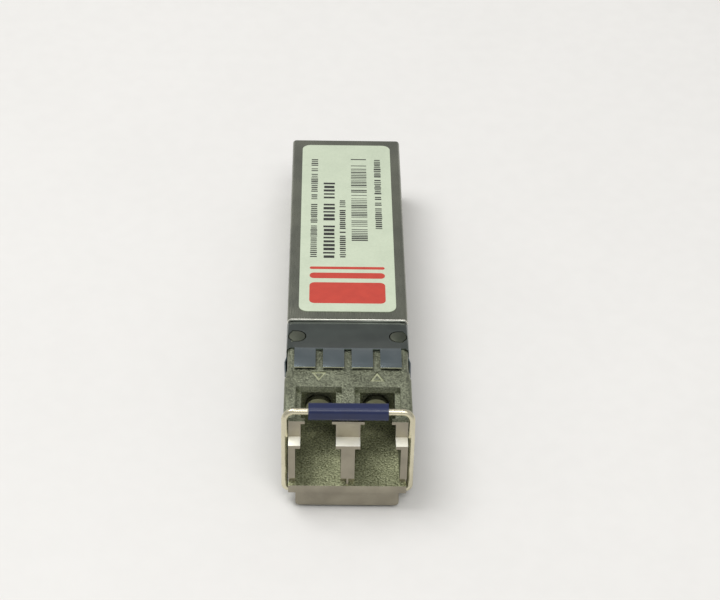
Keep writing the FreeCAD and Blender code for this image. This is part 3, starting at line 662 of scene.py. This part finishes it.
def block_row_tree() -> Tree:
    """Tree for a straight row of small blocks, with random sizes and gaps.

    Returns:
        The tree.
    """
    row = Tree("block_row", {"Start": "Vector", "Step": "Vector", "Count": "Int", "Size": "Vector",
                             "Least share": "Vector", "Gap share": "Float", "Seed": "Int",
                             "Material": "Material"})
    values, graph = row.values, row.graph
    line = graph.add("GeometryNodeMeshLine", {"Count": values["Count"], "Start Location": values["Start"],
                                              "Offset": values["Step"]}, mode="OFFSET")
    chance = graph.add("FunctionNodeRandomValue", {"Min": 0.0, "Max": 1.0, "Seed": values["Seed"]},
                       data_type="FLOAT")
    chance_value = next(socket for socket in chance.outputs if socket.enabled)
    missing = graph.add("FunctionNodeCompare", {"A": chance_value, "B": values["Gap share"]},
                        data_type="FLOAT", operation="LESS_THAN")
    kept = graph.add("GeometryNodeDeleteGeometry", {"Geometry": line.outputs[0],
                                                    "Selection": missing.outputs[0]})
    share = graph.add("FunctionNodeRandomValue", {"Min": values["Least share"], "Max": (1.0, 1.0, 1.0),
                                                  "Seed": values["Seed"]}, data_type="FLOAT_VECTOR")
    size = graph.add("ShaderNodeVectorMath", operation="MULTIPLY")
    graph.tree.links.new(next(socket for socket in share.outputs if socket.enabled), size.inputs[0])
    graph.tree.links.new(values["Size"], size.inputs[1])
    block = graph.add("GeometryNodeMeshCube", {"Size": (1.0, 1.0, 1.0)})
    placed = graph.add("GeometryNodeInstanceOnPoints", {"Points": kept.outputs[0],
                                                        "Instance": block.outputs[0],
                                                        "Scale": size.outputs[0]})
    row.end(placed.outputs[0])
    return row


def coil_tree() -> Tree:
    """Tree for a coil spring along Y.

    Returns:
        The tree.
    """
    coil = Tree("coil_spring", {"Start": "Vector", "Turns": "Float", "Coil radius": "Float",
                                "Wire radius": "Float", "Length": "Float", "Material": "Material"})
    values, graph = coil.values, coil.graph
    spiral = graph.add("GeometryNodeCurveSpiral", {"Resolution": COIL_STEPS, "Rotations": values["Turns"],
                                                   "Start Radius": values["Coil radius"],
                                                   "End Radius": values["Coil radius"],
                                                   "Height": values["Length"]})
    laid = graph.add("GeometryNodeTransform", {"Geometry": spiral.outputs[0], "Translation": values["Start"],
                                               "Rotation": (-math.pi / 2, 0.0, 0.0)})
    section = graph.add("GeometryNodeCurvePrimitiveCircle", {"Resolution": WIRE_SIDES,
                                                             "Radius": values["Wire radius"]})
    wire = graph.add("GeometryNodeCurveToMesh", {"Curve": laid.outputs[0],
                                                 "Profile Curve": section.outputs[0], "Fill Caps": True})
    soft = graph.add("GeometryNodeSetShadeSmooth", {"Geometry": wire.outputs[0], "Shade Smooth": True})
    coil.end(soft.outputs[0])
    return coil


def merged(name: str, meshes: Iterable[bpy.types.Mesh]) -> bpy.types.Mesh:
    """Joins meshes into one and keeps each one's materials.

    Args:
        name: Name of the result.
        meshes: Meshes in place, each with one material.

    Returns:
        One mesh.
    """
    form = bmesh.new()
    materials: list[bpy.types.Material] = []
    for mesh in meshes:
        material = mesh.materials[mesh.polygons[0].material_index]
        if material not in materials:
            materials.append(material)
        first = len(form.faces)
        form.from_mesh(mesh)
        form.faces.ensure_lookup_table()
        for face in form.faces[first:]:
            face.material_index = materials.index(material)
    result = bpy.data.meshes.new(name)
    form.to_mesh(result)
    form.free()
    for material in materials:
        result.materials.append(material)
    return result


def rounded_plate(name: str, low: Vector, high: Vector, corner: float, finish: Finish) -> bpy.types.Mesh:
    """Flat plate with rounded corners.

    Args:
        name: Name of the mesh.
        low: Lowest corner.
        high: Highest corner.
        corner: Radius of the upright corners, in metres.
        finish: Finish of the plate.

    Returns:
        A closed mesh.
    """
    outline = []
    middle = (low + high) / 2
    reach = Vector(((high.x - low.x) / 2 - corner, (high.y - low.y) / 2 - corner))
    for quarter in range(4):
        side_x = 1 if quarter in (0, 3) else -1
        side_y = 1 if quarter in (0, 1) else -1
        for step in range(CORNER_STEPS + 1):
            angle = (quarter + step / CORNER_STEPS) * math.pi / 2
            outline.append((middle.x + side_x * reach.x + corner * math.cos(angle),
                            middle.y + side_y * reach.y + corner * math.sin(angle)))
    form = bmesh.new()
    bottom = form.faces.new([form.verts.new((x, y, low.z)) for x, y in outline])
    grown = bmesh.ops.extrude_face_region(form, geom=[bottom])
    tops = [item for item in grown["geom"] if isinstance(item, bmesh.types.BMVert)]
    bmesh.ops.translate(form, verts=tops, vec=(0.0, 0.0, high.z - low.z))
    bmesh.ops.recalc_face_normals(form, faces=form.faces)
    mesh = bpy.data.meshes.new(name)
    form.to_mesh(mesh)
    form.free()
    mesh.materials.append(Wardrobe.get(finish))
    return mesh


@dataclass
class CastBase:
    """Cast base: blasted on top and inside, satin on its front faces, with a painted highlight on its ledges
    and forward edges, painted shade on the bosses in the collar's windows and painted light on the ports'
    grainy floors.

    Attributes:
        edges: Rounding of its edges.
        ledge_back: Depth of the ledges behind the front face, in metres.
        ledge_low: Lowest place of a ledge's upper face, in metres.
        ledge_high: Highest place of a ledge's upper face, in metres.
        front_depth: Depth behind the front in which upright faces are satin, in metres.
        edge_back: Depth behind the front in which forward edges get a painted highlight, in metres.
        arrow_low: Lowest place inside the arrows, in metres.
        arrow_high: Highest place inside the arrows, in metres.
        boss_low: Height above which only the bosses in the collar's windows lie, in metres.
        floor_high: Height under which the ports' floors lie, in metres.
        ledge_up: Least share of Z in the normal of a ledge's face.
        ledge_rear: Share of Y in a normal from which a face looks to the rear.
        front_turn: Least share of Y in the normal of a front face.
        edge_turn: Least shares of Y and Z in the normal of an edge with a painted highlight.
        arrow_up: Least share of Z in the normal of an arrow's floor.
        floor_up: Least share of Z in the normal of a port's floor.
    """

    edges: EdgeBreak = EdgeBreak(0.07 * MM)
    ledge_back: float = 1.5 * MM
    ledge_low: float = 8.0 * MM
    ledge_high: float = 8.45 * MM
    front_depth: float = 2.2 * MM
    edge_back: float = 9.0 * MM
    arrow_low: float = 10.20 * MM
    arrow_high: float = 10.34 * MM
    boss_low: float = 10.40 * MM
    floor_high: float = 3.4 * MM
    ledge_up: float = -0.2
    ledge_rear: float = 0.5
    front_turn: float = 0.8
    edge_turn: float = 0.25
    arrow_up: float = 0.98
    floor_up: float = 0.5

    def on_ledge(self, middle: Vector, normal: Vector) -> bool:
        """True for the upper faces of the ledges at the front, which get a painted highlight."""
        inside = self.ledge_low < middle.z < self.ledge_high and middle.y < FRONT + self.ledge_back
        return inside and normal.z > self.ledge_up and normal.y < self.ledge_rear

    def on_front(self, middle: Vector, normal: Vector) -> bool:
        """True for the upright faces at the very front."""
        return normal.y < -self.front_turn and middle.y < FRONT + self.front_depth

    def on_painted_highlight_edge(self, middle: Vector, normal: Vector) -> bool:
        """True for rounded edges that face forward and up, which get a painted highlight."""
        forward = middle.y < FRONT + self.edge_back and normal.y < -self.edge_turn
        return forward and normal.z > self.edge_turn

    def in_arrow(self, middle: Vector, normal: Vector) -> bool:
        """True for the floor of the arrows on the nose."""
        return self.arrow_low < middle.z < self.arrow_high and normal.z > self.arrow_up

    def on_boss(self, middle: Vector, normal: Vector) -> bool:
        """True for the bosses in the collar's windows."""
        return middle.z > self.boss_low

    def on_lit_port_floor(self, middle: Vector, normal: Vector) -> bool:
        """True for the floors of the ports, which get painted light over their grain."""
        inside = middle.z < self.floor_high and middle.y < FRONT + self.edge_back
        return inside and normal.z > self.floor_up

    def build(self) -> list[bpy.types.Object]:
        """Makes the base.

        Returns:
            Its pieces.
        """
        mesh = self.edges.copy("base_housing")
        # Ledges and forward edges take a painted highlight (material 1).
        assign_by_place(mesh, [lambda *spot: self.on_ledge(*spot) or self.on_painted_highlight_edge(*spot),
                               self.on_front, self.on_boss, self.on_lit_port_floor, self.in_arrow])
        # The ports' floors take painted light over their real grain (material 4); the window bosses take
        # painted shade (material 3).
        piece = new_piece("cast_base", mesh, Body.HOUSING,
                          [CAST, PAINTED_HIGHLIGHT, FACED, SHADED, LIT_PORT_FLOOR, ETCHED])
        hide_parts("base_housing")
        return [piece]


@dataclass
class SheetCover:
    """Folded cover, brushed along its length, with a painted highlight on its sheared ends.

    Attributes:
        edges: Rounding of its edges.
        end_turn: Least share of Y in the normal of a sheared end, which gets a painted highlight.
    """

    edges: EdgeBreak = EdgeBreak(0.10 * MM, 3)
    end_turn: float = 0.15

    def build(self) -> list[bpy.types.Object]:
        """Makes the cover.

        Returns:
            Its pieces.
        """
        mesh = self.edges.copy("top_cover")
        # The cover's ends take a painted highlight (material 1).
        assign_by_place(mesh, [lambda middle, normal: abs(normal.y) > self.end_turn])
        piece = new_piece("folded_cover", mesh, Body.HOUSING, [COVER, PAINTED_HIGHLIGHT_SHEET])
        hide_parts("top_cover")
        return [piece]


@dataclass
class SpringCollar:
    """Collar of thin spring sheet with slotted fingers; the fingers carry a lighter, bluer painted reflection
    on the same sheet.

    Attributes:
        edges: Rounding of its edges.
        tip_length: Length of the finger tips that get a painted highlight, in metres.
        bend: Distance from the tips to the end of the sprung fingers, which carry the painted reflection, in
            metres.
    """

    edges: EdgeBreak = EdgeBreak(0.045 * MM)
    tip_length: float = 0.12 * MM
    bend: float = 3.35 * MM

    def build(self) -> list[bpy.types.Object]:
        """Makes the collar.

        Returns:
            Its pieces.
        """
        mesh = self.edges.copy("emi_collar")
        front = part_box("emi_collar")[0].y
        tips = front + self.tip_length
        fingers = front + self.bend
        # Finger tips take a painted highlight (material 1).
        assign_by_place(mesh, [lambda middle, normal: middle.y < tips,
                               # The rest of the fingers take a lighter, bluer painted reflection (material
                               # 2).
                               lambda middle, normal: middle.y < fingers])
        piece = new_piece("spring_collar", mesh, Body.HOUSING, [COLLAR, PAINTED_HIGHLIGHT_SHEET, FINGER_PAINTED_REFLECTION])
        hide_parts("emi_collar")
        return [piece]


@dataclass(frozen=True)
class PrintLine:
    """One line of marks that runs along the label.

    Attributes:
        across: Place across the label, from its middle, in metres.
        start: First mark's distance from the label's front edge, in metres.
        length: Length of the line, in metres.
        pitch: Distance between marks, in metres.
        height: Height of the marks across the label, in metres.
        least: Least share of a mark's width and height.
        gaps: Share of the marks that are left out.
        seed: Seed of the random sizes.
    """

    across: float
    start: float
    length: float
    pitch: float
    height: float
    least: Triple
    gaps: float
    seed: int


@dataclass
class PrintedLabel:
    """Label with a plain printed design: red bands, a ladder of bars and lines of blank marks.

    Attributes:
        edges: Rounding of the label's edges.
        ink: Thickness of the ink, in metres.
        margin: Distance of the bands from the label's sides, in metres.
        mark_share: Largest share of its pitch that a mark takes.
        band_corner: Largest radius of a band's corners, in metres.
        corner_share: Largest share of its length that a band's corner takes.
        bands: Start and length of each red band, from the label's front edge, in metres.
        lines: The lines of marks.
    """

    edges: EdgeBreak = EdgeBreak(0.02 * MM)
    ink: float = 0.006 * MM
    margin: float = 1.15 * MM
    mark_share: float = 0.72
    band_corner: float = 0.6 * MM
    corner_share: float = 0.45
    bands: tuple[tuple[float, float], ...] = (
        (1.5 * MM, 4.0 * MM), (6.3 * MM, 1.1 * MM), (8.1 * MM, 0.5 * MM))
    lines: tuple[PrintLine, ...] = field(default_factory=lambda: (
        PrintLine(-3.9 * MM, 10.6 * MM, 21.5 * MM, 0.42 * MM, 0.85 * MM, (0.8, 0.55, 1.0), 0.14, 3),
        PrintLine(-2.1 * MM, 10.6 * MM, 17.0 * MM, 0.78 * MM, 1.45 * MM, (0.85, 0.55, 1.0), 0.10, 8),
        PrintLine(-0.5 * MM, 10.6 * MM, 12.5 * MM, 0.42 * MM, 0.75 * MM, (0.8, 0.55, 1.0), 0.16, 5),
        PrintLine(1.5 * MM, 14.0 * MM, 18.5 * MM, 0.37 * MM, 1.9 * MM, (1.0, 0.30, 1.0), 0.22, 11),
        PrintLine(3.8 * MM, 16.5 * MM, 16.0 * MM, 0.42 * MM, 0.85 * MM, (0.8, 0.55, 1.0), 0.14, 2)))

    def line_mesh(self, tree: Tree, line: PrintLine) -> bpy.types.Mesh:
        """Makes one line of marks.

        Args:
            tree: Tree for a row of blocks.
            line: The line.

        Returns:
            Its mesh.
        """
        low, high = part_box("label")
        middle_x = (low.x + high.x) / 2
        start = (middle_x + line.across, low.y + line.start, high.z)
        size = (line.height, self.mark_share * line.pitch, 2 * self.ink)
        return tree.run("print_line", Start=start, Step=(0.0, line.pitch, 0.0),
                        Count=int(line.length / line.pitch), Size=size, Least_share=line.least,
                        Gap_share=line.gaps, Seed=line.seed, Material=Wardrobe.get(BLACK_INK))

    def band_mesh(self, start: float, length: float) -> bpy.types.Mesh:
        """Makes one red band.

        Args:
            start: Its distance from the label's front edge, in metres.
            length: Its length along the label, in metres.

        Returns:
            Its mesh.
        """
        low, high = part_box("label")
        corner = min(self.band_corner, self.corner_share * length)
        first = Vector((low.x + self.margin, low.y + start, high.z - self.ink))
        last = Vector((high.x - self.margin, low.y + start + length, high.z + self.ink))
        return rounded_plate("red_band", first, last, corner, RED_INK)

    def build(self) -> list[bpy.types.Object]:
        """Makes the label and its print.

        Returns:
            Its pieces.
        """
        film = new_piece("label_film", self.edges.copy("label"), Body.HOUSING, [PAPER])
        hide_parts("label")
        tree = block_row_tree()
        meshes = [self.band_mesh(*band) for band in self.bands]
        meshes += [self.line_mesh(tree, line) for line in self.lines]
        printed = new_piece("label_print", merged("label_print", meshes), Body.HOUSING)
        return [film, printed]


@dataclass
class WireBail:
    """Wire bail with its moulded grip."""

    def build(self) -> list[bpy.types.Object]:
        """Dresses the bail.

        Returns:
            Its pieces.
        """
        return [dress_node("bail_wire", WIRE), dress_node("bail_grip", GRIP)]


@dataclass
class LatchWorks:
    """Slider, its return spring and the plate under them.

    Attributes:
        turns: Turns of the spring.
        wire: Diameter of its wire, in metres.
    """

    turns: float = 6.0
    wire: float = 0.22 * MM

    def spring(self) -> bpy.types.Object:
        """Makes the coil.

        Returns:
            The spring.
        """
        low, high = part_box("slider_spring")
        radius = (high.x - low.x - self.wire) / 2
        start = ((low.x + high.x) / 2, low.y + self.wire / 2, (low.z + high.z) / 2)
        length = high.y - low.y - self.wire
        mesh = coil_tree().run("return_spring", Start=start, Turns=self.turns, Coil_radius=radius,
                               Wire_radius=self.wire / 2, Length=length, Material=Wardrobe.get(SPRING))
        piece = new_piece("return_spring", mesh, Body.HOUSING)
        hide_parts("slider_spring")
        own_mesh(piece)
        return piece

    def build(self) -> list[bpy.types.Object]:
        """Makes and dresses the latch.

        Returns:
            Its pieces.
        """
        return [dress_node("actuator_slider", SLIDER), dress_node("slider_retainer", STAMPED), self.spring()]


@dataclass
class OpticalPair:
    """Transmitter and receiver with their barrels, cans and flexible circuits.

    Attributes:
        finishes: Finish of each kind of piece, by the end of its node's name.
        shared: Finish of each piece that serves both.
    """

    finishes: dict[str, Finish] = field(default_factory=lambda: {
        "barrel": TURNED, "can": TURNED, "sleeve": CERAMIC, "lens": GLASS, "header": GOLD, "flex": FILM})
    shared: dict[str, Finish] = field(default_factory=lambda: {
        "fibre_stub": CERAMIC, "laser_chip": DIE, "photodiode_chip": DIE, "barrel_gasket": RUBBER,
        "optics_clamp": STAMPED})

    def build(self) -> list[bpy.types.Object]:
        """Dresses both channels.

        Returns:
            Its pieces.
        """
        pieces = []
        for channel in ("transmitter", "receiver"):
            for kind, finish in self.finishes.items():
                pieces.append(dress_node(f"{channel}_{kind}", finish))
        return pieces + [dress_node(name, finish) for name, finish in self.shared.items()]


@dataclass
class BoardAssembly:
    """Circuit board with its chips, small parts, leads and contacts.

    Attributes:
        finishes: Finish of each node.
        lead_pitch: Distance between the memory's leads, in metres.
        lead: Size of one lead, in metres.
        leads: Number of leads on each side.
    """

    finishes: dict[str, Finish] = field(default_factory=lambda: {
        "circuit_board": MASK, "edge_contacts_top": GOLD, "edge_contacts_bottom": GOLD,
        "laser_driver": PACKAGE, "receiver_amplifier": PACKAGE, "controller_chip": PACKAGE,
        "memory_chip": PACKAGE, "power_inductors": PACKAGE, "passive_parts": FIRED, "thermal_pad": PAD})
    lead_pitch: float = 0.65 * MM
    lead: Triple = (0.35 * MM, 0.25 * MM, 0.20 * MM)
    leads: int = 4

    def memory_leads(self) -> bpy.types.Object:
        """Makes the rows of leads beside the memory.

        Returns:
            The leads.
        """
        low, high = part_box("memory_chip")
        tree = block_row_tree()
        first_y = (low.y + high.y) / 2 - (self.leads - 1) / 2 * self.lead_pitch
        rows = []
        for edge, way in ((low.x, -1), (high.x, 1)):
            start = (edge + way * self.lead[0] / 2, first_y, low.z + self.lead[2] / 2)
            rows.append(tree.run("lead_row", Start=start, Step=(0.0, self.lead_pitch, 0.0), Count=self.leads,
                                 Size=self.lead, Least_share=(1.0, 1.0, 1.0), Gap_share=0.0, Seed=1,
                                 Material=Wardrobe.get(SOLDER)))
        return new_piece("memory_leads", merged("memory_leads", rows), Body.HOUSING)

    def build(self) -> list[bpy.types.Object]:
        """Makes and dresses the board.

        Returns:
            Its pieces.
        """
        pieces = [dress_node(name, finish) for name, finish in self.finishes.items()]
        return pieces + [self.memory_leads()]


@dataclass(frozen=True)
class PhotoCamera:
    """Camera at the photo's viewing angle.

    Attributes:
        place: Place of the camera, in metres.
        pitch: Angle below the horizon, in degrees.
        yaw: Turn about Z, in degrees.
        roll: Turn about the view axis, in degrees.
        focal_pixels: Focal length in pixels of the picture.
        picture_width: Width of the picture, in pixels.
        sensor: Width of the sensor, in millimetres.
        nearest: Distance at which its view starts, in metres.
    """

    place: Triple = (-0.00300, -0.18491, 0.14177)
    pitch: float = 36.175
    yaw: float = -1.411
    roll: float = 1.416
    focal_pixels: float = 1972.8
    picture_width: float = 720.0
    sensor: float = 36.0
    nearest: float = 1.0 * MM

    def build(self) -> bpy.types.Object:
        """Places the camera and makes it the scene's.

        Returns:
            The camera.
        """
        camera = bpy.data.objects.new("photo_camera", bpy.data.cameras.new("photo_camera"))
        bpy.context.scene.collection.objects.link(camera)
        camera.data.sensor_width = self.sensor
        camera.data.lens = self.sensor * self.focal_pixels / self.picture_width
        camera.data.clip_start = self.nearest
        turn = (Matrix.Rotation(math.radians(self.yaw), 4, "Z")
                @ Matrix.Rotation(math.radians(90.0 - self.pitch), 4, "X")
                @ Matrix.Rotation(math.radians(self.roll), 4, "Z"))
        camera.matrix_world = Matrix.Translation(self.place) @ turn
        bpy.context.scene.camera = camera
        return camera


@dataclass(frozen=True)
class SoftLamp:
    """Square area lamp that points at the module.

    Attributes:
        name: Name of the lamp.
        place: Its place, in metres.
        size: Length of its side, in metres.
        power: Its power, in watts.
        colour: Its colour.
    """

    name: str
    place: Triple
    size: float
    power: float
    colour: Colour = (1.0, 1.0, 1.0)

    def build(self, target: Vector) -> bpy.types.Object:
        """Places the lamp.

        Args:
            target: Point that it faces.

        Returns:
            The lamp.
        """
        light = bpy.data.lights.new(self.name, "AREA")
        light.shape = "SQUARE"
        light.size = self.size
        light.energy = self.power
        light.color = self.colour
        lamp = bpy.data.objects.new(self.name, light)
        bpy.context.scene.collection.objects.link(lamp)
        place = Vector(self.place)
        facing = (target - place).to_track_quat("-Z", "Y").to_matrix().to_4x4()
        lamp.matrix_world = Matrix.Translation(place) @ facing
        return lamp


@dataclass
class Studio:
    """Pale floor under the module, soft lamps and an even surrounding.

    Attributes:
        floor_size: Length of the floor's side, in metres.
        chin_back: Distance of the chin's rear edge from the front, in metres.
        tail_rise: Height of the body's underside above the chin's, in metres.
        tail_bevel: Distance of the body's rear lower edge from the rear end, in metres.
        surround: Brightness of the surrounding.
        surround_colour: Colour of the surrounding.
        lamps: The lamps.
    """

    floor_size: float = 3.0
    chin_back: float = 9.0 * MM
    tail_rise: float = 2.3 * MM
    tail_bevel: float = 1.1 * MM
    surround: float = 0.46
    surround_colour: Colour = (1.0, 0.99, 0.97)
    lamps: tuple[SoftLamp, ...] = (
        SoftLamp("key_lamp", (-0.22, 0.08, 0.56), 0.35, 1.9),
        SoftLamp("front_lamp", (0.10, -0.34, 0.52), 0.30, 1.3))

    def floor(self) -> bpy.types.Object:
        """Makes the floor through the two edges on which the module lies.

        Returns:
            The floor.
        """
        low, high = CAD_BOX
        front_line = low.y + self.chin_back
        rear_line = high.y - self.tail_bevel
        slope = self.tail_rise / (rear_line - front_line)
        half = self.floor_size / 2
        sides = ((-half, -half), (half, -half), (half, half), (-half, half))
        corners = [(x, y, (y - front_line) * slope) for x, y in sides]
        mesh = bpy.data.meshes.new("floor")
        mesh.from_pydata(corners, [], [(0, 1, 2, 3)])
        mesh.materials.append(Wardrobe.get(FLOOR))
        floor = bpy.data.objects.new("floor", mesh)
        bpy.context.scene.collection.objects.link(floor)
        return floor

    def surrounding(self) -> None:
        """Sets an even pale surrounding."""
        world = bpy.data.worlds.new("studio")
        bpy.context.scene.world = world
        world.use_nodes = True
        background = world.node_tree.nodes["Background"]
        background.inputs["Color"].default_value = (*self.surround_colour, 1.0)
        background.inputs["Strength"].default_value = self.surround

    def build(self) -> None:
        """Sets up the floor, the lamps and the surrounding."""
        self.floor()
        self.surrounding()
        target = (CAD_BOX[0] + CAD_BOX[1]) / 2
        for lamp in self.lamps:
            lamp.build(target)


def main() -> None:
    """Builds every sub-assembly, then the studio and the camera."""
    logging.basicConfig(level=logging.INFO, format="%(message)s")
    for assembly in (CastBase(), SheetCover(), SpringCollar(), PrintedLabel(), WireBail(), LatchWorks(),
                     OpticalPair(), BoardAssembly()):
        for piece in assembly.build():
            LOG.info("%s: %s", type(assembly).__name__, piece.name)
    Studio().build()
    PhotoCamera().build()
    bpy.context.scene.view_settings.view_transform = "Standard"


if __name__ == "__main__":
    main()
